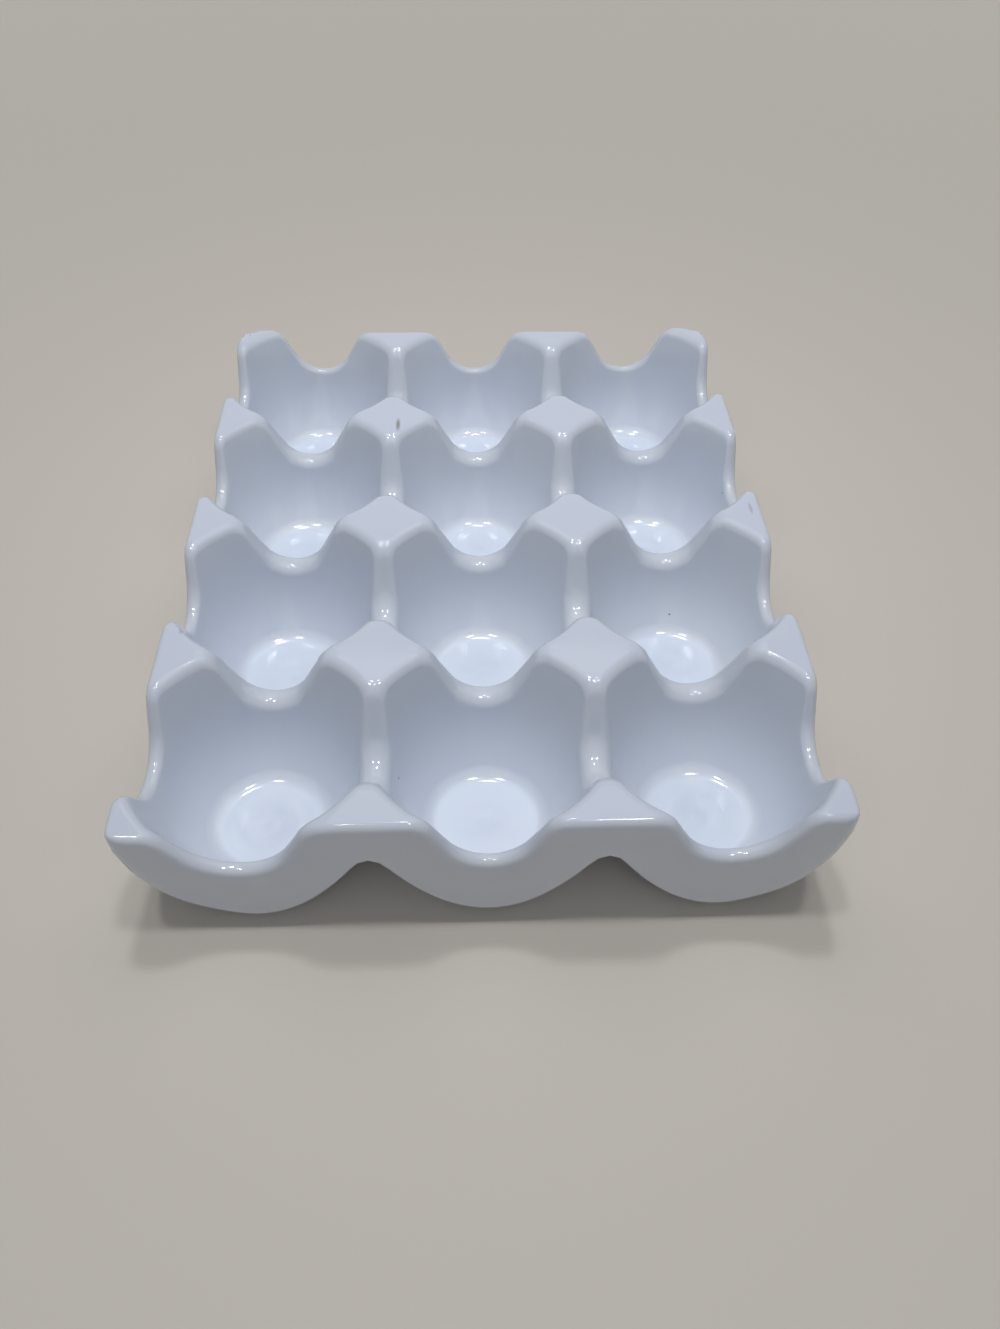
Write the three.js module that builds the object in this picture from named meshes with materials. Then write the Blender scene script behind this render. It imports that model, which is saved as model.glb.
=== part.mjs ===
// Egg crate of white glazed ceramic: three columns and four rows of open cups, cast in one piece.
// Millimetres, +Z up. The origin is on the table, under the middle of the crate.
import * as THREE from 'three';
import { mergeVertices } from 'three/addons/utils/BufferGeometryUtils.js';

// Layout of the cups.
const columns = 3;
const rows = 4;
const pitch = 50.8;
const height = 35.5;

// The four flat sides, trimmed just past the outermost ridges, and their rounded rims.
const sideLand = 0.8;
const rimRadius = 1.8;

// Inside of a cup: a flat floor, a round bowl and a straight wall that leans outwards (degrees).
const floorThickness = 5;
const bowlRadius = 9;
const wallDraft = 17;

// Ridge between two cups: it dips to a round saddle and climbs a straight flank (degrees)
// over a shoulder to the flat top of the post at each end. Its crest is rounded more than the post.
const saddleDepth = 14.6;
const saddleRadius = 9;
const ridgeThickness = 5.7;
const crestRun = 3.4;
const postRun = 2.2;
const flankSlope = 60;
const shoulderRadius = 5.5;

// The outermost ridges dip a little less, in wider saddles.
const sideSaddleDepth = 13.3;
const sideSaddleRadius = 10;

// Corner cups: their round outer wall runs up to the rim and takes the tips off the crate's corners.
// Along a flat side it takes over from the saddle on, and is fully round at a distance from it.
const cornerCut = 1.35;
const cornerLand = 2;
const outerRadius = 40;
const roundBy = 12;

// Underside: a flat foot under each cup, a valley between two feet and a hollow under each post.
const footGap = 7.6;
const footRound = 4.6;
const valleyFill = 3.1;
const postThickness = 12.2;
const crownRound = 3.4;

// Facets of the rounded stretches, and the largest share of a straight leg that a rounding takes.
const bowlSteps = 2;
const crestSteps = 2;
const footSteps = 1;
const valleySteps = 2;
const rimSteps = 2;
const roundShare = 0.85;

// Share of the rim's radius to which facets gather on either side of a round outer wall's edge.
const edgeShare = 0.75;

// Values worked out from the sizes above.
const half = pitch / 2;
const outerHalf = half + sideLand;
const trimmedHalf = outerHalf - rimRadius;
const cornerReach = Math.hypot(outerHalf, outerHalf) - cornerCut;
const wallLean = Math.tan(THREE.MathUtils.degToRad(wallDraft));
const flank = THREE.MathUtils.degToRad(flankSlope);
const shoulderRise = shoulderRadius * (1 - Math.cos(flank));
const wallAtSaddle = half - ridgeThickness / 2;
const footEdge = half - footGap / 2;
const crownHeight = height - postThickness;
const crownAlong = half - crownRound / 2;
const hollowSlope = (crownHeight + valleyFill) / (Math.hypot(half, crownAlong) - footEdge);
const valleyFloor = footGap / 2 * hollowSlope - valleyFill;

// Radius of the cup's straight wall at a height.
function wallRadius(z) {
  return wallAtSaddle + (z - height + saddleDepth) * wallLean;
}

// Crest of a ridge: its height at a distance from the saddle, and the stops where its facets turn.
function ridgeCurve(depth, radius) {
  const saddle = height - depth;
  const saddleEnd = radius * Math.sin(flank);
  const saddleRise = radius * (1 - Math.cos(flank));
  const flankEnd = saddleEnd + (depth - saddleRise - shoulderRise) / Math.tan(flank);
  const shoulderEnd = flankEnd + shoulderRadius * Math.sin(flank);
  const crestAt = (along) => {
    const s = Math.abs(along);
    if (s < saddleEnd) {
      return saddle + radius - Math.sqrt(radius ** 2 - s ** 2);
    }
    if (s < flankEnd) {
      return saddle + saddleRise + (s - saddleEnd) * Math.tan(flank);
    }
    if (s < shoulderEnd) {
      return height - shoulderRadius + Math.sqrt(shoulderRadius ** 2 - (shoulderEnd - s) ** 2);
    }
    return height;
  };
  return { crestAt, stops: [0, radius * Math.sin(flank / 2), saddleEnd, flankEnd, shoulderEnd] };
}

const innerRidge = ridgeCurve(saddleDepth, saddleRadius);
const sideRidge = ridgeCurve(sideSaddleDepth, sideSaddleRadius);

// Height of the valley under a ridge: low between two feet, and rounded over at the crown under a post.
function valleyAt(along) {
  const fromPost = Math.abs(half - Math.abs(along));
  const softened = fromPost < crownRound ? (fromPost ** 2 + crownRound ** 2) / (2 * crownRound) : fromPost;
  return valleyFloor + (crownHeight - valleyFloor) * ((half - softened) / crownAlong) ** 2;
}

// Radius of a corner cup's round outer wall at a height.
function outerWall(z) {
  const below = Math.max(height - cornerLand - z, 0);
  const round = cornerReach - below ** 2 / (2 * outerRadius);
  return Math.min(cornerReach, Math.max(round, footEdge + z / hollowSlope));
}

// The lesser of two radii, eased over where they are nearly the same.
function easedLeast(a, b) {
  const overlap = Math.max(1 - Math.abs(a - b) / rimRadius, 0);
  return Math.min(a, b) - overlap ** 2 * rimRadius / 4;
}

// Slope of a curve at a place on it.
function slopeAt(curve, along) {
  const step = 0.001;
  return (curve(along + step) - curve(along - step)) / (2 * step);
}

// Circular arc that rounds the corner between two straight legs, starting run millimetres before it.
function roundedCorner(before, corner, after, run, steps) {
  const toBefore = before.clone().sub(corner).normalize();
  const toAfter = after.clone().sub(corner).normalize();
  const start = corner.clone().addScaledVector(toBefore, run);
  const end = corner.clone().addScaledVector(toAfter, run);
  const weight = Math.sqrt((1 - toBefore.dot(toAfter)) / 2);
  const points = [];
  for (let i = 0; i <= steps; i += 1) {
    const t = i / steps;
    const shares = [(1 - t) ** 2, 2 * t * (1 - t) * weight, t ** 2];
    const total = shares[0] + shares[1] + shares[2];
    const point = new THREE.Vector2();
    point.addScaledVector(start, shares[0] / total);
    point.addScaledVector(corner, shares[1] / total);
    point.addScaledVector(end, shares[2] / total);
    points.push(point);
  }
  return points;
}

// Crossing of the line through a point with a slope and a wall that runs from base with its own slope.
function wallCrossing(point, slope, base, wallSlope) {
  const r = (point.y - base.y - slope * point.x + wallSlope * base.x) / (wallSlope - slope);
  return new THREE.Vector2(r, base.y + wallSlope * (r - base.x));
}

// Section of a cup's inside, from its axis over the floor and up the wall to the crest of a ridge.
function cupSection(reach, crest, crestSlope) {
  const axis = new THREE.Vector2(0, floorThickness);
  const floorCorner = new THREE.Vector2(wallRadius(floorThickness), floorThickness);
  const end = new THREE.Vector2(reach, crest);
  const crestCorner = wallCrossing(end, crestSlope, floorCorner, 1 / wallLean);
  const turn = Math.PI / 2 - Math.atan(wallLean);
  const bowlRun = Math.min(bowlRadius * Math.tan(turn / 2), roundShare * floorCorner.x);
  const onPost = 1 - Math.min((height - crest) / shoulderRise, 1);
  const edgeRun = THREE.MathUtils.lerp(crestRun, postRun, onPost);
  const roundRun = Math.min(edgeRun, roundShare * crestCorner.distanceTo(end));
  const bowl = roundedCorner(axis, floorCorner, crestCorner, bowlRun, bowlSteps);
  const lip = roundedCorner(floorCorner, crestCorner, end, roundRun, crestSteps);
  return [axis, ...bowl, ...lip, end];
}

// Section of the underside, from the valley under a ridge down the hollow to the middle of the foot.
function hollowSection(reach, valley, valleySlope) {
  const axis = new THREE.Vector2(0, 0);
  const footCorner = new THREE.Vector2(footEdge, 0);
  const end = new THREE.Vector2(reach, valley);
  const valleyCorner = wallCrossing(end, valleySlope, footCorner, hollowSlope);
  const valleyRun = valleyCorner.distanceTo(end);
  const wallRun = valleyCorner.distanceTo(footCorner) - valleyRun;
  const footRun = Math.min(footRound * Math.tan(Math.atan(hollowSlope) / 2), roundShare * wallRun);
  const groove = roundedCorner(end, valleyCorner, footCorner, valleyRun, valleySteps);
  const foot = roundedCorner(valleyCorner, footCorner, axis, footRun, footSteps);
  return [...groove, ...foot, axis];
}

// The four ways out of a cup, each with the way that runs anticlockwise along that side.
const ways = [0, 1, 2, 3].map((quarter) => {
  const turn = quarter * Math.PI / 2;
  const outward = new THREE.Vector3(Math.round(Math.cos(turn)), Math.round(Math.sin(turn)), 0);
  const along = new THREE.Vector3(-outward.y, outward.x, 0);
  return { outward, along };
});

// Points on one edge of a cup's square, from its first corner up to, but not with, the next one.
function edgeSpots(centre, outermost, side) {
  const way = ways[side];
  const halves = outermost.map((isSide) => (isSide ? trimmedHalf : half));
  const ridge = outermost[side] ? sideRidge : innerRidge;
  const before = ridge.stops.slice(1).reverse().map((stop) => -stop);
  const roundBefore = outermost[side] && outermost[(side + 3) % 4];
  const roundAfter = outermost[side] && outermost[(side + 1) % 4];
  const places = [-halves[(side + 3) % 4], ...before, ...ridge.stops];
  const onPost = (ridge.stops.at(-1) + trimmedHalf) / 2;
  if (roundBefore) {
    places.splice(1, 0, -onPost);
  }
  if (roundAfter) {
    places.push(onPost);
  }
  return places.map((along, i) => {
    const atPost = i === 0;
    const isRound = along < 0 ? roundBefore : roundAfter;
    const offset = way.outward.clone().multiplyScalar(halves[side]).addScaledVector(way.along, along);
    const reach = offset.length();
    return {
      centre,
      way,
      reach,
      heading: offset.clone().divideScalar(reach),
      lean: along / reach,
      crest: atPost ? height : ridge.crestAt(along),
      crestSlope: atPost ? 0 : slopeAt(ridge.crestAt, along),
      valley: atPost ? crownHeight : valleyAt(along),
      valleySlope: atPost ? 0 : slopeAt(valleyAt, along),
      roundness: isRound ? THREE.MathUtils.smoothstep(Math.abs(along), 0, roundBy) : 0,
    };
  });
}

// A section point, placed on the spot's heading from the cup's centre.
function placed(spot, point) {
  const place = spot.centre.clone().addScaledVector(spot.heading, point.x);
  place.z = point.y;
  return place;
}

// Chain of points up the inside of the cup to a spot on its edge.
function insideChain(spot) {
  const section = cupSection(spot.reach, spot.crest, spot.crestSlope * spot.lean);
  return section.map((point) => placed(spot, point));
}

// Chain of points down the underside from that spot to the middle of the foot.
function undersideChain(spot) {
  const section = hollowSection(spot.reach, spot.valley, spot.valleySlope * spot.lean);
  return section.map((point) => placed(spot, point));
}

// Upward normal of a rim curve, in the plane of the crate's side.
function rimNormal(way, slope) {
  return new THREE.Vector3(0, 0, 1).addScaledVector(way.along, -slope).normalize();
}

// Points down a flat side of the crate: over the upper rim, down the face and under the lower rim.
function sideChain(spot, outward) {
  const upper = placed(spot, new THREE.Vector2(spot.reach, spot.crest));
  const lower = placed(spot, new THREE.Vector2(spot.reach, spot.valley));
  const upperNormal = rimNormal(spot.way, spot.crestSlope);
  const lowerNormal = rimNormal(spot.way, spot.valleySlope);
  const over = [];
  const under = [];
  for (let i = 0; i <= rimSteps; i += 1) {
    const turn = i / rimSteps * Math.PI / 2;
    const out = rimRadius * Math.sin(turn);
    const drop = rimRadius * (1 - Math.cos(turn));
    over.push(upper.clone().addScaledVector(outward, out).addScaledVector(upperNormal, -drop));
    under.unshift(lower.clone().addScaledVector(outward, out).addScaledVector(lowerNormal, drop));
  }
  return [...over, ...under];
}

// Heights down the round outer wall of a corner cup, from under the upper rim to the start of the foot:
// three or more about the edge where a flat side gives way to the wall, and then even steps.
function wallHeights(rimReach, rimHeight, footHeight, steps) {
  const edgeDepth = Math.sqrt(2 * outerRadius * Math.max(cornerReach - rimReach, 0));
  const spread = edgeShare * rimRadius;
  const edge = Math.min(height - cornerLand - edgeDepth, rimHeight - 2 * spread);
  const heights = [];
  for (let i = 0; i <= rimSteps; i += 1) {
    heights.push(edge + spread * (1 - 2 * i / rimSteps));
  }
  for (let i = 1; i < steps - rimSteps; i += 1) {
    const part = i / (steps - rimSteps);
    heights.push(THREE.MathUtils.lerp(edge - spread, footHeight, part));
  }
  return heights;
}

// Points from the upper rim of a flat side down to the middle of the foot, drawn onto the round
// outer wall near a corner of the crate.
function outerChain(spot, outward) {
  const chain = [...sideChain(spot, outward), ...undersideChain(spot).slice(1)];
  const footStart = chain.length - footSteps - 2;
  const rimEnd = chain[rimSteps].clone().sub(spot.centre);
  const heading = new THREE.Vector3(rimEnd.x, rimEnd.y, 0);
  const rimReach = heading.length();
  heading.divideScalar(rimReach);
  const wallStart = rimSteps + 1;
  const heights = wallHeights(rimReach, rimEnd.z, chain[footStart].z, footStart - wallStart);
  return chain.map((point, i) => {
    const local = point.clone().sub(spot.centre);
    const onWall = i >= wallStart && i < footStart;
    const z = onWall ? heights[i - wallStart] : local.z;
    const flatReach = onWall ? rimReach : Math.hypot(local.x, local.y);
    const reach = i > 0 && i < footStart ? easedLeast(flatReach, outerWall(z)) : flatReach;
    const way = i < wallStart ? local.setZ(0).normalize() : heading;
    const target = spot.centre.clone().addScaledVector(way, reach).setZ(z);
    return point.clone().lerp(target, spot.roundness);
  });
}

const positions = [];

// Facets between two neighbouring chains of points. The second chain lies anticlockwise of the first.
function fillBetween(first, second) {
  for (let i = 0; i + 1 < first.length; i += 1) {
    const [a, b, c, d] = [first[i], first[i + 1], second[i + 1], second[i]];
    if (b.distanceTo(c) > 0) {
      positions.push(...a, ...b, ...c);
    }
    if (a.distanceTo(d) > 0) {
      positions.push(...a, ...c, ...d);
    }
  }
}

// One cup with its share of the ridges, posts and underside, and any flat side that it carries.
function addCup(column, row) {
  const x = (column - (columns - 1) / 2) * pitch;
  const y = (row - (rows - 1) / 2) * pitch;
  const centre = new THREE.Vector3(x, y, 0);
  const outermost = [column === columns - 1, row === rows - 1, column === 0, row === 0];
  const edges = ways.map((way, side) => edgeSpots(centre, outermost, side));
  const stations = ways.flatMap(({ outward }, side) => {
    const nextSide = (side + 1) % ways.length;
    const corner = edges[nextSide][0];
    const facing = outermost[side] ? outward : null;
    const faced = [...edges[side], corner].map((spot) => ({ spot, outward: facing }));
    if (outermost[side] && outermost[nextSide]) {
      faced.push({ spot: corner, outward: outward.clone().add(ways[nextSide].outward).normalize() });
    }
    return faced;
  });
  const sideLength = 2 * (rimSteps + 1);
  const chains = stations.map(({ spot, outward }) => {
    const outer = outward ? outerChain(spot, outward) : undersideChain(spot);
    return {
      inside: insideChain(spot),
      side: outward ? outer.slice(0, sideLength) : [],
      underside: outward ? outer.slice(sideLength - 1) : outer,
    };
  });
  chains.forEach((chain, i) => {
    const next = chains[(i + 1) % chains.length];
    fillBetween(chain.inside, next.inside);
    fillBetween(chain.underside, next.underside);
    if (chain.side.length === next.side.length) {
      fillBetween(chain.side, next.side);
    }
  });
}

for (let row = 0; row < rows; row += 1) {
  for (let column = 0; column < columns; column += 1) {
    addCup(column, row);
  }
}

const seamTolerance = 0.001;
const loose = new THREE.BufferGeometry();
loose.setAttribute('position', new THREE.Float32BufferAttribute(positions, 3));
const crateGeometry = mergeVertices(loose, seamTolerance);
crateGeometry.computeVertexNormals();

const glaze = new THREE.MeshStandardMaterial({ color: 0xe6eaee, roughness: 0.08, metalness: 0 });
const crate = new THREE.Mesh(crateGeometry, glaze);
crate.name = 'crate';

const eggCrate = new THREE.Group();
eggCrate.add(crate);

export default eggCrate;
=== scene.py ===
import math

import bpy
from mathutils import Matrix, Vector


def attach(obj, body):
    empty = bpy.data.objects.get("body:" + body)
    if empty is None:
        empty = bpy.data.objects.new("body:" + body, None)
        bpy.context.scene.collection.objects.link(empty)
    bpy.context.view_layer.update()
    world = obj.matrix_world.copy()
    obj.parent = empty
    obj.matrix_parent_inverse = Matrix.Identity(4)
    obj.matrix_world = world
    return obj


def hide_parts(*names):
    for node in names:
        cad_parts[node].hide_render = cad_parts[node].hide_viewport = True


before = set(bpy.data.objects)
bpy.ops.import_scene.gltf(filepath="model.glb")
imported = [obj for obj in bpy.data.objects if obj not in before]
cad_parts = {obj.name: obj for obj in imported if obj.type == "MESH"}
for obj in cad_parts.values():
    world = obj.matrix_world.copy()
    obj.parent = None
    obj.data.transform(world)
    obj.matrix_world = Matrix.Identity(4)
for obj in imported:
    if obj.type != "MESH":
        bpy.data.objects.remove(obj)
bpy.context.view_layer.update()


# The crate is one slip casting of white clay: open cups, the ridges between them, a post wherever ridges
# cross, four flat trimmed sides and a foot under each cup. It is fired once, glazed and fired again.
mm = 0.001
shape = bpy.data.node_groups.new("crate_shape", "GeometryNodeTree")
shape.interface.new_socket("Crate", in_out="OUTPUT", socket_type="NodeSocketGeometry")
crate_sizes = {}


class Measure:
    """A length, angle or share of the crate's shape, worked out by math nodes."""

    def __init__(self, socket):
        self.socket = socket

    def __add__(self, other):
        return worked("ADD", self, other)

    def __radd__(self, other):
        return worked("ADD", other, self)

    def __sub__(self, other):
        return worked("SUBTRACT", self, other)

    def __rsub__(self, other):
        return worked("SUBTRACT", other, self)

    def __mul__(self, other):
        return worked("MULTIPLY", self, other)

    def __rmul__(self, other):
        return worked("MULTIPLY", other, self)

    def __truediv__(self, other):
        return worked("DIVIDE", self, other)

    def __rtruediv__(self, other):
        return worked("DIVIDE", other, self)

    def __neg__(self):
        return worked("MULTIPLY", self, -1.0)


def worked(operation, *terms):
    node = shape.nodes.new("ShaderNodeMath")
    node.operation = operation
    for socket, term in zip(node.inputs, terms):
        if isinstance(term, Measure):
            shape.links.new(term.socket, socket)
        else:
            socket.default_value = term
    return Measure(node.outputs[0])


def step(kind, given):
    """One step of the making, with its inputs joined or set by name."""
    node = shape.nodes.new(kind)
    for name, value in given.items():
        if isinstance(value, Measure):
            value = value.socket
        if isinstance(value, bpy.types.NodeSocket):
            shape.links.new(value, node.inputs[name])
        else:
            node.inputs[name].default_value = value
    return node


def size(name, value, kind="NodeSocketFloat"):
    """A size of the crate, as a named input of its shape."""
    socket = shape.interface.new_socket(name, in_out="INPUT", socket_type=kind)
    crate_sizes[socket.identifier] = value
    inlet = shape.nodes.new("NodeGroupInput")
    return Measure(inlet.outputs[name])


def sine(angle):
    return worked("SINE", angle)


def cosine(angle):
    return worked("COSINE", angle)


def tangent(angle):
    return worked("TANGENT", angle)


def least(a, b):
    return worked("MINIMUM", a, b)


def most(a, b):
    return worked("MAXIMUM", a, b)


def span(a, b):
    return worked("SQRT", a * a + b * b)


def share(value):
    return least(most(value, 0.0), 1.0)


def eased(value):
    return value * value * (3.0 - 2.0 * value)


def either(flag, if_set, if_not):
    return if_not + (if_set - if_not) * flag


# Layout of the cups, and the flat sides trimmed just past the outermost ridges.
columns = size("Columns", 3, "NodeSocketInt")
rows = size("Rows", 4, "NodeSocketInt")
pitch = size("Pitch", 50.8 * mm)
height = size("Height", 35.5 * mm)
side_land = size("Side land", 0.8 * mm)
rim_radius = size("Rim radius", 1.8 * mm)

# Inside of a cup: a floor with a tight round at its edge, a steep bowl and a wall that leans outwards.
floor_thickness = size("Floor thickness", 3.2 * mm)
floor_dish = size("Floor dish", 0.4 * mm)
floor_wave = size("Floor wave", 0.12 * mm)
floor_round = size("Floor round", 5.5 * mm)
bowl_radius = size("Bowl radius", 40 * mm)
bowl_slope = size("Bowl slope", math.radians(53))
wall_draft = size("Wall draft", math.radians(17))

# Ridge between two cups: a round saddle, a straight flank and a shoulder up to the flat post.
saddle_depth = size("Saddle depth", 14.6 * mm)
saddle_radius = size("Saddle radius", 9 * mm)
ridge_thickness = size("Ridge thickness", 5.7 * mm)
crest_run = size("Crest run", 4.4 * mm)
post_run = size("Post run", 2.2 * mm)
flank_slope = size("Flank slope", math.radians(60))
shoulder_radius = size("Shoulder radius", 5.5 * mm)
side_saddle_depth = size("Side saddle depth", 13.3 * mm)
side_saddle_radius = size("Side saddle radius", 10 * mm)

# Corner cups: their round outer wall runs up to the rim and takes the tips off the crate's corners.
corner_cut = size("Corner cut", 1.35 * mm)
corner_land = size("Corner land", 2 * mm)
outer_radius = size("Outer radius", 40 * mm)
round_by = size("Round by", 12 * mm)
edge_share = 0.75
blend_share = 1.5

# Underside: a flat foot under each cup, a valley between two feet and a hollow under each post.
foot_gap = size("Foot gap", 7.6 * mm)
foot_round = size("Foot round", 4.6 * mm)
valley_fill = size("Valley fill", 3.1 * mm)
post_thickness = size("Post thickness", 12.2 * mm)
crown_round = size("Crown round", 3.4 * mm)
round_share = 0.85

# Rings of the mesh along a section, from the cup's floor over the edge to the foot, and steps round a cup.
# Half a side has the four parts of the ridge's crest, and each corner of the crate has steps of its own.
floor_rings = 8
turn_rings = 8
bowl_rings = 3
wall_rings = 3
lip_rings = 7
crest_rings = 3
rim_rings = 5
face_rings = 3
groove_rings = 5
hollow_rings = 3
foot_rings = 4
sole_rings = 3
crest_parts = 4
part_steps = 5
corner_steps = 3

section_rings = [
    floor_rings, turn_rings, bowl_rings, wall_rings, lip_rings, crest_rings,
    rim_rings, face_rings, rim_rings,
    groove_rings, hollow_rings, foot_rings, sole_rings,
]
edge_steps = 2 * crest_parts * part_steps
side_steps = edge_steps + corner_steps
round_steps = 4 * side_steps

half = pitch / 2.0
outer_half = half + side_land
trimmed_half = outer_half - rim_radius
corner_reach = outer_half * math.sqrt(2.0) - corner_cut
wall_lean = tangent(wall_draft)
wall_at_saddle = half - ridge_thickness / 2.0
foot_edge = half - foot_gap / 2.0
crown_height = height - post_thickness
crown_along = half - crown_round / 2.0
hollow_slope = (crown_height + valley_fill) / (span(half, crown_along) - foot_edge)
valley_floor = foot_gap / 2.0 * hollow_slope - valley_fill

# One sheet of mesh for a cup is laid at each crossing of the grid, and then drawn to its shape.
cup_grid = step("GeometryNodeMeshGrid", {
    "Size X": (columns - 1.0) * pitch,
    "Size Y": (rows - 1.0) * pitch,
    "Vertices X": columns,
    "Vertices Y": rows,
})
cup_places = step("GeometryNodeCaptureAttribute", {"Geometry": cup_grid.outputs["Mesh"]})
cup_places.capture_items.new("VECTOR", "Centre")
place = shape.nodes.new("GeometryNodeInputPosition")
shape.links.new(place.outputs["Position"], cup_places.inputs["Centre"])

sheet = step("GeometryNodeMeshGrid", {
    "Vertices X": round_steps + 1,
    "Vertices Y": sum(section_rings) + 1,
})
sheet_index = Measure(shape.nodes.new("GeometryNodeInputIndex").outputs["Index"])
sheet_row = worked("FLOOR", (sheet_index + 0.5) / (sum(section_rings) + 1.0))
sheet_ring = sheet_index - sheet_row * (sum(section_rings) + 1.0)
sheet_places = step("GeometryNodeCaptureAttribute", {"Geometry": sheet.outputs["Mesh"]})
for name, measure in (("Round", sheet_row), ("Ring", sheet_ring)):
    sheet_places.capture_items.new("FLOAT", name)
    shape.links.new(measure.socket, sheet_places.inputs[name])
sheets = step("GeometryNodeInstanceOnPoints", {
    "Points": cup_places.outputs["Geometry"],
    "Instance": sheet_places.outputs["Geometry"],
})
laid = step("GeometryNodeRealizeInstances", {"Geometry": sheets.outputs["Instances"]})
round_at = Measure(sheet_places.outputs["Round"])
ring_at = Measure(sheet_places.outputs["Ring"])
centre = step("ShaderNodeSeparateXYZ", {"Vector": cup_places.outputs["Centre"]})
centre_x = Measure(centre.outputs["X"])
centre_y = Measure(centre.outputs["Y"])

# Which side of the cup's square a point belongs to, and how far along that side it lies.
quarter = math.pi / 2.0
side = worked("FLOOR", round_at / side_steps)
side_step = round_at - side * float(side_steps)
across = share(side_step / float(edge_steps)) * 2.0 - 1.0
corner_turn = most(side_step - float(edge_steps), 0.0) / corner_steps * quarter
out_x = cosine(side * quarter)
out_y = sine(side * quarter)
grid_x = (columns - 1.0) * half
grid_y = (rows - 1.0) * half


def outermost(way_x, way_y):
    """Set where the cup is the last one of the grid that way."""
    reach_there = centre_x * way_x + centre_y * way_y
    last = grid_x * worked("ABSOLUTE", way_x) + grid_y * worked("ABSOLUTE", way_y)
    return worked("GREATER_THAN", reach_there, last - half)


trimmed = outermost(out_x, out_y)
trimmed_before = outermost(out_y, -out_x)
trimmed_after = outermost(-out_y, out_x)
past_middle = worked("GREATER_THAN", across, 0.0)
side_half = either(trimmed, trimmed_half, half)
end_half = either(either(past_middle, trimmed_after, trimmed_before), trimmed_half, half)
sense = worked("SIGN", across)
stop = worked("ABSOLUTE", across) * float(crest_parts)

# Crest of the ridge on that side: saddle, flank, shoulder and post, one stop each.
ridge_depth = either(trimmed, side_saddle_depth, saddle_depth)
ridge_radius = either(trimmed, side_saddle_radius, saddle_radius)
dip = least(stop, 1.0) * flank_slope
climb = share(stop - 1.0)
brow = share(3.0 - stop) * flank_slope
post_share = most(stop - 3.0, 0.0)
flank_level = cosine(flank_slope)
round_rise = (ridge_radius + shoulder_radius) * (1.0 - flank_level)
flank_rise = ridge_depth - round_rise
flank_run = flank_rise / tangent(flank_slope)
shoulder_end = (ridge_radius + shoulder_radius) * sine(flank_slope) + flank_run
to_saddle = (
    ridge_radius * sine(dip)
    + climb * flank_run
    + shoulder_radius * (sine(flank_slope) - sine(brow))
    + post_share * (end_half - shoulder_end)
)
crest = (
    height - ridge_depth
    + ridge_radius * (1.0 - cosine(dip))
    + climb * flank_rise
    + shoulder_radius * (cosine(brow) - flank_level)
)
along = to_saddle * sense
crest_slope = tangent(least(dip, brow)) * sense

# Valley under that ridge, rounded over at the crown under each post.
from_post = half - to_saddle - post_share * (half - end_half)
crown_share = least(from_post / crown_round, 1.0)
softened = most(from_post, crown_round) + crown_round * (crown_share * crown_share - 1.0) / 2.0
valley_share = (half - softened) / crown_along
valley_rise = crown_height - valley_floor
valley = valley_floor + valley_rise * valley_share * valley_share
valley_slope = 2.0 * valley_rise * valley_share * crown_share / crown_along * sense

reach = span(side_half, along)
lean = along / reach
heading_x = (out_x * side_half - out_y * along) / reach
heading_y = (out_y * side_half + out_x * along) / reach

shares = []
first_ring = 0
for rings in section_rings:
    shares.append(share((ring_at - float(first_ring)) / float(rings)))
    first_ring += rings
(
    floor_share, turn_share, bowl_share, wall_share, lip_share, crest_share,
    upper_share, face_share, lower_share,
    groove_share, hollow_share, foot_share, sole_share,
) = shares


def rounded(corner, before, after, run, part):
    """Point a part of the way along the arc that rounds a corner between two directions."""
    weight = worked("SQRT", (1.0 - before[0] * after[0] - before[1] * after[1]) / 2.0)
    rest = 1.0 - part
    total = rest * rest + 2.0 * part * rest * weight + part * part
    back = run * rest * rest / total
    ahead = run * part * part / total
    return [c + b * back + a * ahead for c, b, a in zip(corner, before, after)]


def moved(point, way, distance):
    """The point that lies that way from another one, at a distance."""
    return [p + w * distance for p, w in zip(point, way)]


def wall_crossing(end, slope, base, wall_slope):
    """Where the line through end with a slope meets the wall that climbs from base."""
    radius = (end[1] - base[1] - slope * end[0] + wall_slope * base[0]) / (wall_slope - slope)
    return [radius, base[1] + wall_slope * (radius - base[0])]


def towards(start, end):
    """Direction from start to end, and the distance between them."""
    run = [e - s for s, e in zip(start, end)]
    distance = span(run[0], run[1])
    return [r / distance for r in run], distance


# Section of a cup's inside, from its axis over the floor and up the wall to the crest of the ridge.
floor_corner = [
    wall_at_saddle + (floor_thickness - height + saddle_depth) * wall_lean,
    floor_thickness,
]
wall_up = [sine(wall_draft), cosine(wall_draft)]
wall_down = [-wall_up[0], -wall_up[1]]
inwards = [-1.0, 0.0]
crest_end = [reach, crest]
crest_corner = wall_crossing(crest_end, crest_slope * lean, floor_corner, 1.0 / wall_lean)
over_crest, crest_length = towards(crest_corner, crest_end)
on_post = share(1.0 - (height - crest) / (shoulder_radius * (1.0 - flank_level)))
lip_run = least(either(on_post, post_run, crest_run), round_share * crest_length)
lip = rounded(crest_corner, wall_down, over_crest, lip_run, lip_share)
floor_turn = turn_share * bowl_slope
bowl_turn = bowl_slope + (quarter - wall_draft - bowl_slope) * bowl_share
bowl_rise = floor_round * (1.0 - cosine(bowl_slope)) + bowl_radius * (cosine(bowl_slope) - wall_up[0])
bowl_end = [floor_corner[0] + bowl_rise * wall_lean, floor_thickness + bowl_rise]
bowl_run = floor_round * sine(bowl_slope) + bowl_radius * (wall_up[1] - sine(bowl_slope))
floor_edge = bowl_end[0] - bowl_run
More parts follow.
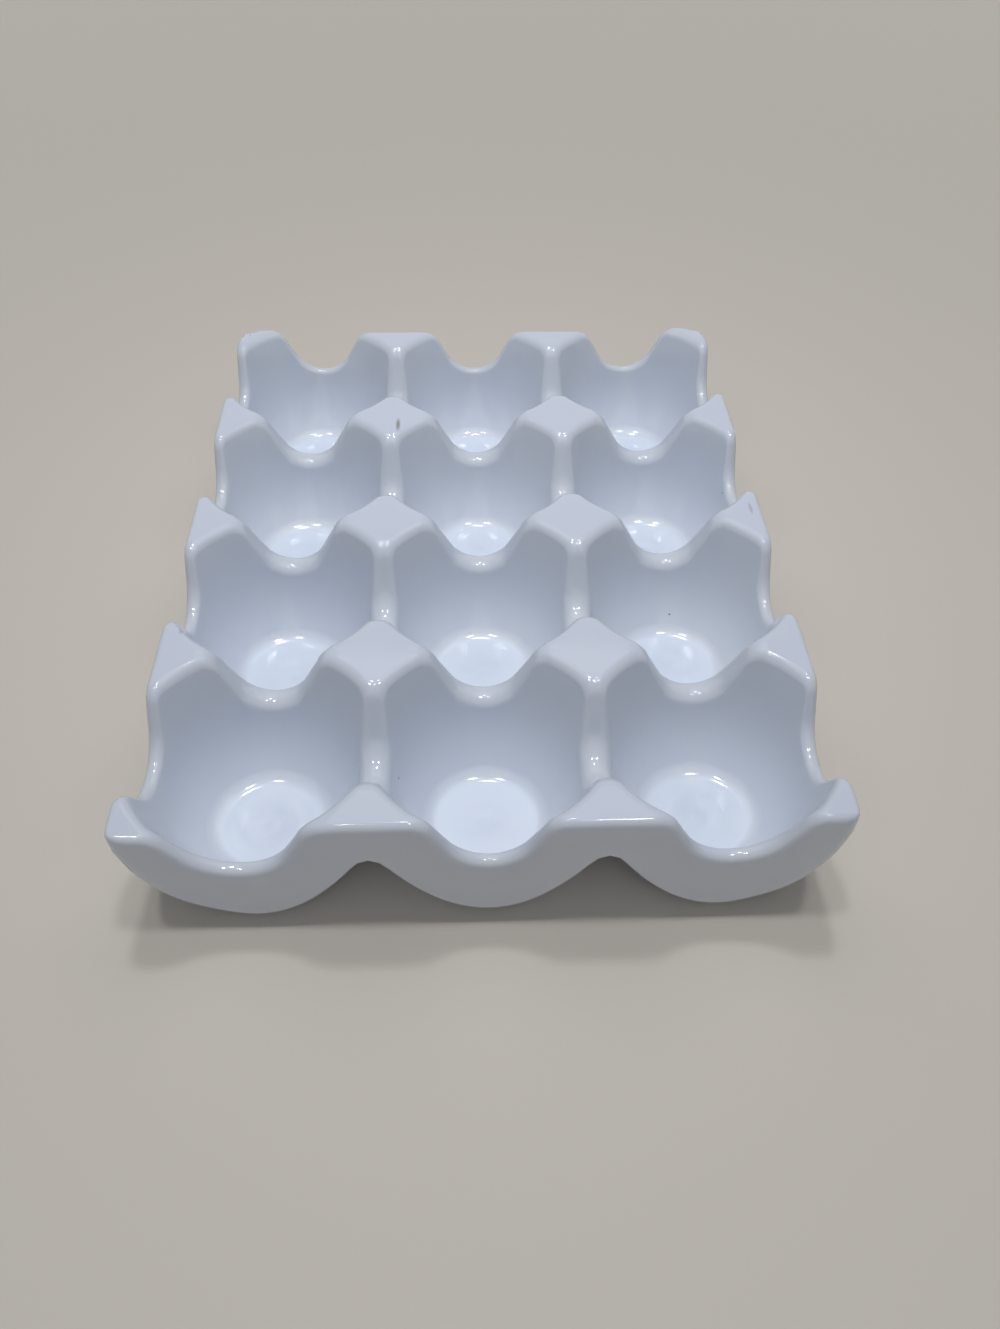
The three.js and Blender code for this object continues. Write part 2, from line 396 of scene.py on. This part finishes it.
bowl = [
    floor_edge * floor_share
    + floor_round * sine(floor_turn)
    + bowl_radius * (sine(bowl_turn) - sine(bowl_slope)),
    floor_thickness
    + floor_round * (1.0 - cosine(floor_turn))
    + bowl_radius * (cosine(bowl_slope) - cosine(bowl_turn)),
]
lip_start = moved(crest_corner, wall_down, lip_run)
lip_end = moved(crest_corner, over_crest, lip_run)
inside = [
    low + (start - low_end) * wall_share + bend - start + (end - bend_end) * crest_share
    for low, low_end, bend, start, bend_end, end in zip(
        bowl, bowl_end, lip, lip_start, lip_end, crest_end,
    )
]
ripple_turns = 4.0
dish = floor_dish * (1.0 + cosine(floor_share * math.pi)) / 2.0
ripple = floor_wave * (1.0 - cosine(floor_share * math.pi * ripple_turns)) / 2.0
inside[1] = inside[1] - dish - ripple

# Section of the underside, from the valley down the hollow to the middle of the foot.
foot_corner = [foot_edge, 0.0]
valley_end = [reach, valley]
hollow_angle = worked("ARCTANGENT", hollow_slope)
hollow_up = [cosine(hollow_angle), sine(hollow_angle)]
hollow_down = [-hollow_up[0], -hollow_up[1]]
valley_corner = wall_crossing(valley_end, valley_slope * lean, foot_corner, hollow_slope)
over_valley, groove_run = towards(valley_corner, valley_end)
hollow_length = span(valley_corner[0] - foot_edge, valley_corner[1]) - groove_run
foot_run = least(foot_round * tangent(hollow_angle / 2.0), round_share * hollow_length)
groove = rounded(valley_corner, over_valley, hollow_down, groove_run, groove_share)
foot = rounded(foot_corner, hollow_up, inwards, foot_run, foot_share)
groove_end = moved(valley_corner, hollow_down, groove_run)
foot_start = moved(foot_corner, hollow_up, foot_run)
below = [
    bend - top + (start - bend_end) * hollow_share + heel - start
    for bend, top, bend_end, heel, start in zip(groove, valley_end, groove_end, foot, foot_start)
]
below[0] = below[0] - (foot_edge - foot_run) * sole_share

# Flat side of the crate: over the upper rim, down the face and under the lower rim.
upper_turn = upper_share * quarter
lower_turn = lower_share * quarter
upper_level = 1.0 / worked("SQRT", crest_slope * crest_slope + 1.0)
lower_level = 1.0 / worked("SQRT", valley_slope * valley_slope + 1.0)
upper_shift = crest_slope * upper_level * rim_radius
lower_shift = valley_slope * lower_level * rim_radius
side_out = rim_radius * (sine(upper_turn) + cosine(lower_turn) - 1.0)
side_along = (
    upper_shift * (1.0 - cosine(upper_turn))
    - (upper_shift + lower_shift) * face_share
    + lower_shift * sine(lower_turn)
)
upper_drop = upper_level * rim_radius
lower_drop = lower_level * rim_radius
side_rise = (
    (valley + lower_drop - crest + upper_drop) * face_share
    - upper_drop * (1.0 - cosine(upper_turn))
    - lower_drop * sine(lower_turn)
)
radius_at = inside[0] + below[0]
face_x = cosine(side * quarter + corner_turn)
face_y = sine(side * quarter + corner_turn)
flat_x = heading_x * radius_at + face_x * side_out - out_y * side_along
flat_y = heading_y * radius_at + face_y * side_out + out_x * side_along
flat_z = inside[1] + side_rise + below[1]

# Near a corner of the crate the flat sides give way to the corner cup's round outer wall.
inner_rings = sum(section_rings[:6])
rim_end = sum(section_rings[:7])
outer_rings = sum(section_rings[:9])
foot_begin = sum(section_rings[:11])
rim_x = heading_x * reach + face_x * rim_radius - out_y * upper_shift
rim_y = heading_y * reach + face_y * rim_radius + out_x * upper_shift
rim_z = crest - upper_drop
rim_reach = span(rim_x, rim_y)
edge_depth = worked("SQRT", 2.0 * outer_radius * most(corner_reach - rim_reach, 0.0))
edge_spread = rim_radius * edge_share
wall_edge = least(height - corner_land - edge_depth, rim_z - edge_spread * 2.0)
edge_drop = rim_z - wall_edge - edge_spread
under_drop = wall_edge - edge_spread - foot_start[1]
under_share = share((ring_at - float(outer_rings)) / float(foot_begin - outer_rings))
wall_z = rim_z - edge_drop * face_share - edge_spread * 2.0 * lower_share - under_drop * under_share
past_crest = worked("GREATER_THAN", ring_at, float(inner_rings))
past_rim = worked("GREATER_THAN", ring_at, float(rim_end))
at_foot = worked("GREATER_THAN", ring_at, float(foot_begin))
flat_reach = span(flat_x, flat_y)
round_z = either(past_rim * (1.0 - at_foot), wall_z, flat_z)
below_land = most(height - corner_land - round_z, 0.0)
outer_bowl = corner_reach - below_land * below_land / (2.0 * outer_radius)
outer_wall = least(corner_reach, most(outer_bowl, foot_edge + round_z / hollow_slope))
flat_edge = either(past_rim, rim_reach, flat_reach)
outer_reach = worked("SMOOTH_MIN", flat_edge, outer_wall, rim_radius * blend_share)
round_reach = either(at_foot, radius_at, outer_reach)
round_x = round_reach * either(past_rim, rim_x / rim_reach, flat_x / flat_reach)
round_y = round_reach * either(past_rim, rim_y / rim_reach, flat_y / flat_reach)
roundness = (
    trimmed * either(past_middle, trimmed_after, trimmed_before)
    * past_crest
    * eased(share(to_saddle / round_by))
)
drawn_x = centre_x + either(roundness, round_x, flat_x)
drawn_y = centre_y + either(roundness, round_y, flat_y)
drawn_z = either(roundness, round_z, flat_z)

# The clay moved a little in the kiln: one front corner sank, leaned out and drew the saddle beside it down,
# and the two back corners rose and rounded at their tips. Both front corner posts are narrower than the other
# posts, with longer flanks.
corner_x = grid_x + half
corner_y = grid_y + half
warp_reach = size("Warp reach", 46 * mm)
sunk = size("Sunk corner", 2.2 * mm)
leaned = size("Leaned corner", 1.8 * mm)
drawn_down = size("Drawn down", 1.2 * mm)
narrow_reach = size("Narrow reach", 30 * mm)
narrowed = size("Narrowed posts", 3.6 * mm)
shortened = size("Shortened posts", 1.5 * mm)
raised = size("Raised corners", 1.1 * mm)
tip_reach = size("Tip reach", 8 * mm)
tip_round = size("Rounded tips", 1.2 * mm)


def beside(distance, reach_there):
    return sine(share(distance / reach_there) * math.pi)


def close_to(distance, reach_there):
    return eased(share(1.0 - distance / reach_there))


def from_corner(way_x, way_y):
    return span(drawn_x - corner_x * way_x, drawn_y - corner_y * way_y)


level_share = share(drawn_z / height)
from_back_left = from_corner(-1.0, 1.0)
from_back_right = from_corner(1.0, 1.0)
sinking = close_to(from_corner(-1.0, -1.0), warp_reach) * level_share
rising = (close_to(from_back_left, warp_reach) + close_to(from_back_right, warp_reach)) * level_share
tipping = (close_to(from_back_left, tip_reach) + close_to(from_back_right, tip_reach)) * level_share
from_front = drawn_y + corner_y
from_left = corner_x + drawn_x
from_right = corner_x - drawn_x
sagging = beside(from_left, warp_reach) * close_to(from_front, warp_reach) * level_share
left_beside = beside(from_left, narrow_reach)
right_beside = beside(from_right, narrow_reach)
front_beside = beside(from_front, narrow_reach)
narrowing = right_beside * right_beside - left_beside * left_beside
narrowing = narrowing * close_to(from_front, narrow_reach) * level_share
shortening = close_to(from_left, narrow_reach) + close_to(from_right, narrow_reach)
shortening = shortening * front_beside * front_beside * level_share
fired_x = drawn_x - leaned * sinking + narrowed * narrowing
fired_y = drawn_y - shortened * shortening
fired_z = drawn_z - sunk * sinking + raised * rising - tip_round * tipping - drawn_down * sagging

drawn = step("ShaderNodeCombineXYZ", {"X": fired_x, "Y": fired_y, "Z": fired_z})
formed = step("GeometryNodeSetPosition", {
    "Geometry": laid.outputs["Geometry"],
    "Position": drawn.outputs["Vector"],
})

# The glaze runs thin over the edges, pools on the cup floors and is wiped off the feet, and each floor gets a
# painted ring of light at its edge with painted shade in its middle. Each of these places is marked on the
# sheets before they are joined.
wiped_from, wiped_ramp = 0.7, 4.0
pool_from, pool_ramp = 0.5, 3.0
post_cover = 0.8
bare_clay = share((foot_share - wiped_from) * wiped_ramp)
post_top = on_post * eased(lip_share) * (1.0 - upper_share)
thin_glaze = eased(lip_share) * (1.0 - face_share) * (1.0 - post_cover * post_top)
# The pool mark is also a ring of painted light round each floor's edge, and the deep mark is painted shade in
# the floor's middle.
pooled_glaze = 1.0 - eased(share(turn_share * pool_ramp - pool_from))
deep_glaze = 1.0 - eased(floor_share)
marked = formed.outputs["Geometry"]
for name, amount in (
    ("bare_clay", bare_clay), ("post_top", post_top), ("thin_glaze", thin_glaze),
    ("pooled_glaze", pooled_glaze), ("deep_glaze", deep_glaze),
):
    marking = step("GeometryNodeStoreNamedAttribute", {"Geometry": marked, "Name": name, "Value": amount})
    marked = marking.outputs["Geometry"]

# Between two cups the sheets meet at the crest and in the valley, so only trimmed sides keep a face.
join_distance = 0.01 * mm
on_face = past_crest * worked("LESS_THAN", ring_at, float(outer_rings))
at_corner = worked("GREATER_THAN", side_step, float(edge_steps))
has_face = trimmed * either(at_corner, trimmed_after, 1.0)
opened = step("GeometryNodeDeleteGeometry", {
    "Geometry": marked,
    "Selection": on_face * (1.0 - has_face),
})
opened.domain = "FACE"
joined = step("GeometryNodeMergeByDistance", {
    "Geometry": opened.outputs["Geometry"],
    "Distance": join_distance,
})
turned_out = step("GeometryNodeFlipFaces", {"Mesh": joined.outputs["Geometry"]})
smoothed = step("GeometryNodeSetShadeSmooth", {"Geometry": turned_out.outputs["Mesh"]})

# Where the glaze lies it is never quite even, so the surface waves a little under a reflection.
glaze_wave = size("Glaze wave", 0.12 * mm)
wave_scale = 75.0
pool_waves = 2.0
wave_place = shape.nodes.new("GeometryNodeInputPosition")
wave = step("ShaderNodeTexNoise", {
    "Vector": wave_place.outputs["Position"],
    "Scale": wave_scale,
    "Detail": 1.0,
})
wave_height = Measure(wave.outputs["Fac"]) - 0.5
wave_depth = wave_height * glaze_wave * (1.0 - bare_clay) * (1.0 + pool_waves * pooled_glaze)
facing = shape.nodes.new("GeometryNodeInputNormal")
wave_offset = shape.nodes.new("ShaderNodeVectorMath")
wave_offset.operation = "SCALE"
shape.links.new(facing.outputs["Normal"], wave_offset.inputs["Vector"])
shape.links.new(wave_depth.socket, wave_offset.inputs["Scale"])
waved = step("GeometryNodeSetPosition", {
    "Geometry": smoothed.outputs["Geometry"],
    "Offset": wave_offset.outputs["Vector"],
})

# White glaze with a cool tint: bluer where it pools, painted lighter in a ring of painted light round each
# floor's edge and darker with painted shade in each floor's middle, chalkier where it runs thin, with a few
# iron specks, grey rub marks on some posts, and bare cream clay under the feet.
cool_white = (0.665, 0.72, 0.818)
soft_white = (0.69, 0.737, 0.815)
# The pool colour is lighter than the glaze as painted light and the deep colour is darker as painted shade;
# both are also bluer.
pool_blue_and_painted_light = (0.705, 0.78, 0.90)
deep_blue_and_painted_shade = (0.635, 0.705, 0.84)
post_white = (0.65, 0.717, 0.872)
edge_white = (0.62, 0.675, 0.775)
rub_grey = (0.30, 0.29, 0.30)
speck_brown = (0.24, 0.20, 0.17)
cream_clay = (0.74, 0.68, 0.59)
dark_clay = (0.66, 0.59, 0.50)
glaze_roughness = (0.08, 0.11)
clay_roughness = (0.62, 0.82)
glaze = bpy.data.materials.new("white_glaze")
glaze.use_nodes = True
finish = glaze.node_tree
coat = finish.nodes["Principled BSDF"]
surface_place = finish.nodes.new("ShaderNodeTexCoord").outputs["Object"]


def noise(scale, detail):
    node = finish.nodes.new("ShaderNodeTexNoise")
    finish.links.new(surface_place, node.inputs["Vector"])
    node.inputs["Scale"].default_value = scale
    node.inputs["Detail"].default_value = detail
    return node.outputs["Fac"]


def ranged(value, low, high, to_low=0.0, to_high=1.0):
    node = finish.nodes.new("ShaderNodeMapRange")
    finish.links.new(value, node.inputs["Value"])
    for name, setting in (("From Min", low), ("From Max", high), ("To Min", to_low), ("To Max", to_high)):
        node.inputs[name].default_value = setting
    return node.outputs["Result"]


def marked_on(name):
    node = finish.nodes.new("ShaderNodeAttribute")
    node.attribute_name = name
    return node.outputs["Fac"]


def times(first, second):
    node = finish.nodes.new("ShaderNodeMath")
    node.operation = "MULTIPLY"
    finish.links.new(first, node.inputs[0])
    finish.links.new(second, node.inputs[1])
    return node.outputs["Value"]


def toned(first, second, amount):
    """The first colour, turned to the second by an amount that varies over the surface."""
    node = finish.nodes.new("ShaderNodeMix")
    node.data_type = "RGBA"
    finish.links.new(amount, node.inputs["Factor"])
    for socket, colour in ((node.inputs["A"], first), (node.inputs["B"], second)):
        if isinstance(colour, bpy.types.NodeSocket):
            finish.links.new(colour, socket)
        else:
            socket.default_value = (*colour, 1.0)
    return node.outputs["Result"]


def scattered(scale, stretch, turn):
    """Distance to the nearest of the scattered marks, and a random share for each mark."""
    mapping = finish.nodes.new("ShaderNodeMapping")
    finish.links.new(surface_place, mapping.inputs["Vector"])
    mapping.inputs["Rotation"].default_value = (0.0, 0.0, turn)
    mapping.inputs["Scale"].default_value = (scale, scale / stretch, scale)
    node = finish.nodes.new("ShaderNodeTexVoronoi")
    finish.links.new(mapping.outputs["Vector"], node.inputs["Vector"])
    node.inputs["Scale"].default_value = 1.0
    picked = finish.nodes.new("ShaderNodeSeparateColor")
    finish.links.new(node.outputs["Color"], picked.inputs["Color"])
    return node.outputs["Distance"], picked.outputs["Red"]


speck_distance, speck_pick = scattered(150.0, 1.0, 0.0)
specks = times(ranged(speck_distance, 0.06, 0.03), ranged(speck_pick, 0.93, 0.94))
rub_distance, rub_pick = scattered(330.0, 5.0, 0.6)
rub_marks = times(ranged(rub_distance, 0.28, 0.12), ranged(rub_pick, 0.955, 0.965))
rubs = times(rub_marks, marked_on("post_top"))
bare = marked_on("bare_clay")
tint = toned(cool_white, soft_white, ranged(noise(22.0, 2.0), 0.35, 0.65))
# Painted light on the floors: the pool mark lightens a ring at each floor's edge, and the deep mark darkens
# the middle as painted shade.
pool_and_painted_light = times(marked_on("pooled_glaze"), ranged(noise(60.0, 1.0), 0.3, 0.7, 0.55, 1.0))
deep_and_painted_shade = times(marked_on("deep_glaze"), ranged(noise(170.0, 1.0), 0.35, 0.65, 0.2, 1.0))
topped = times(marked_on("post_top"), ranged(noise(60.0, 1.0), 0.3, 0.7, 0.7, 1.0))
thinned = times(marked_on("thin_glaze"), ranged(noise(90.0, 2.0), 0.3, 0.7, 0.3, 0.9))
tint = toned(tint, pool_blue_and_painted_light, pool_and_painted_light)
tint = toned(tint, deep_blue_and_painted_shade, deep_and_painted_shade)
tint = toned(tint, post_white, topped)
tint = toned(tint, edge_white, thinned)
tint = toned(tint, rub_grey, rubs)
tint = toned(tint, speck_brown, specks)
clay = toned(cream_clay, dark_clay, ranged(noise(900.0, 3.0), 0.35, 0.65))
finish.links.new(toned(tint, clay, bare), coat.inputs["Base Color"])

sheen = finish.nodes.new("ShaderNodeMix")
finish.links.new(bare, sheen.inputs["Factor"])
finish.links.new(ranged(noise(45.0, 2.0), 0.3, 0.7, *glaze_roughness), sheen.inputs["A"])
finish.links.new(ranged(noise(1400.0, 2.0), 0.3, 0.7, *clay_roughness), sheen.inputs["B"])
finish.links.new(sheen.outputs["Result"], coat.inputs["Roughness"])
coat.inputs["IOR"].default_value = 1.52

whole = step("GeometryNodeRealizeInstances", {"Geometry": waved.outputs["Geometry"]})
glazed = step("GeometryNodeSetMaterial", {
    "Geometry": whole.outputs["Geometry"],
    "Material": glaze,
})
outlet = shape.nodes.new("NodeGroupOutput")
shape.links.new(glazed.outputs["Geometry"], outlet.inputs["Crate"])

crate = bpy.data.objects.new("glazed_crate", bpy.data.meshes.new("casting"))
bpy.context.scene.collection.objects.link(crate)
making = crate.modifiers.new("crate_shape", "NODES")
making.node_group = shape
for identifier, value in crate_sizes.items():
    making[identifier] = value
evaluated = crate.evaluated_get(bpy.context.evaluated_depsgraph_get())
crate_mesh = bpy.data.meshes.new_from_object(evaluated)
crate.modifiers.remove(making)
crate.data = crate_mesh
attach(crate, "root")
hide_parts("crate")


# The table is a plain pale board with a matt finish, one flat sheet. The crate stands on it on all its feet,
# with nothing to hold it but its weight.
table_half = 2.5
table_level = -0.1 * mm
table_mesh = bpy.data.meshes.new("table")
table_corners = [
    (x * table_half, y * table_half, table_level)
    for x, y in [(-1, -1), (1, -1), (1, 1), (-1, 1)]
]
table_mesh.from_pydata(table_corners, [], [(0, 1, 2, 3)])
table = bpy.data.objects.new("table", table_mesh)
bpy.context.scene.collection.objects.link(table)
table_finish = bpy.data.materials.new("pale_table")
table_finish.use_nodes = True
table_coat = table_finish.node_tree.nodes["Principled BSDF"]
table_coat.inputs["Base Color"].default_value = (0.66, 0.62, 0.56, 1.0)
table_coat.inputs["Roughness"].default_value = 0.6
table_mesh.materials.append(table_finish)


# Soft light: a broad panel from the front, three small round lamps overhead, a square panel close above the
# back rows, and a dim room all round with a pale backdrop.
room = bpy.data.worlds.new("room")
room.use_nodes = True
air = room.node_tree
fill = air.nodes["Background"]
fill.inputs["Color"].default_value = (0.9, 0.93, 1.0, 1.0)
fill.inputs["Strength"].default_value = 0.12
backdrop = air.nodes.new("ShaderNodeBackground")
backdrop.inputs["Color"].default_value = (0.78, 0.78, 0.77, 1.0)
ray = air.nodes.new("ShaderNodeLightPath")
seen = ray.outputs["Is Camera Ray"]
for other in ("Is Glossy Ray", "Is Transmission Ray"):
    also = air.nodes.new("ShaderNodeMath")
    also.operation = "MAXIMUM"
    air.links.new(seen, also.inputs[0])
    air.links.new(ray.outputs[other], also.inputs[1])
    seen = also.outputs["Value"]
around = air.nodes.new("ShaderNodeMixShader")
air.links.new(seen, around.inputs["Fac"])
air.links.new(fill.outputs["Background"], around.inputs[1])
air.links.new(backdrop.outputs["Background"], around.inputs[2])
air.links.new(around.outputs["Shader"], air.nodes["World Output"].inputs["Surface"])
bpy.context.scene.world = room


def shine(name, width, strength, direction):
    light = bpy.data.lights.new(name, "SUN")
    light.angle = math.radians(width)
    light.energy = strength
    lamp = bpy.data.objects.new(name, light)
    bpy.context.scene.collection.objects.link(lamp)
    lamp.rotation_euler = Vector(direction).to_track_quat("Z", "Y").to_euler()


shine("front_panel", width=60.0, strength=0.28, direction=(0.0, -0.7, 1.0))
for index, direction in enumerate([(-0.17, 0.0, 1.0), (0.17, 0.0, 1.0), (0.0, 0.31, 1.0)]):
    shine(f"lamp_{index + 1}", width=6.0, strength=0.42, direction=direction)
near_light = bpy.data.lights.new("near_panel", "AREA")
near_light.size = 200.0 * mm
near_light.energy = 0.105
near_panel = bpy.data.objects.new("near_panel", near_light)
bpy.context.scene.collection.objects.link(near_panel)
near_panel.location = (0.0, 40.0 * mm, 220.0 * mm)


# The camera looks down over the front side at the photograph's angle, a little turned and rolled. Its focal
# length and the picture's height are in the photograph's pixels.
photo_focal = 1099.6
photo_height = 1329.0
camera_place = (-4.29 * mm, -236.70 * mm, 215.42 * mm)
yaw = math.radians(2.517)
tilt = math.radians(44.859)
roll = math.radians(0.898)
right = Vector((math.cos(yaw), -math.sin(yaw), 0.0))
ahead = Vector((math.sin(yaw) * math.cos(tilt), math.cos(yaw) * math.cos(tilt), -math.sin(tilt)))
upward = right.cross(ahead)
camera_right = right * math.cos(roll) + upward * math.sin(roll)
camera_up = upward * math.cos(roll) - right * math.sin(roll)
lens = bpy.data.cameras.new("camera")
lens.sensor_width = 36.0
lens.lens = lens.sensor_width * photo_focal / photo_height
lens.clip_start = 0.01
camera = bpy.data.objects.new("camera", lens)
bpy.context.scene.collection.objects.link(camera)
turn = Matrix((camera_right, camera_up, -ahead)).transposed().to_4x4()
camera.matrix_world = Matrix.Translation(camera_place) @ turn
bpy.context.scene.camera = camera
bpy.context.scene.view_settings.view_transform = "Standard"
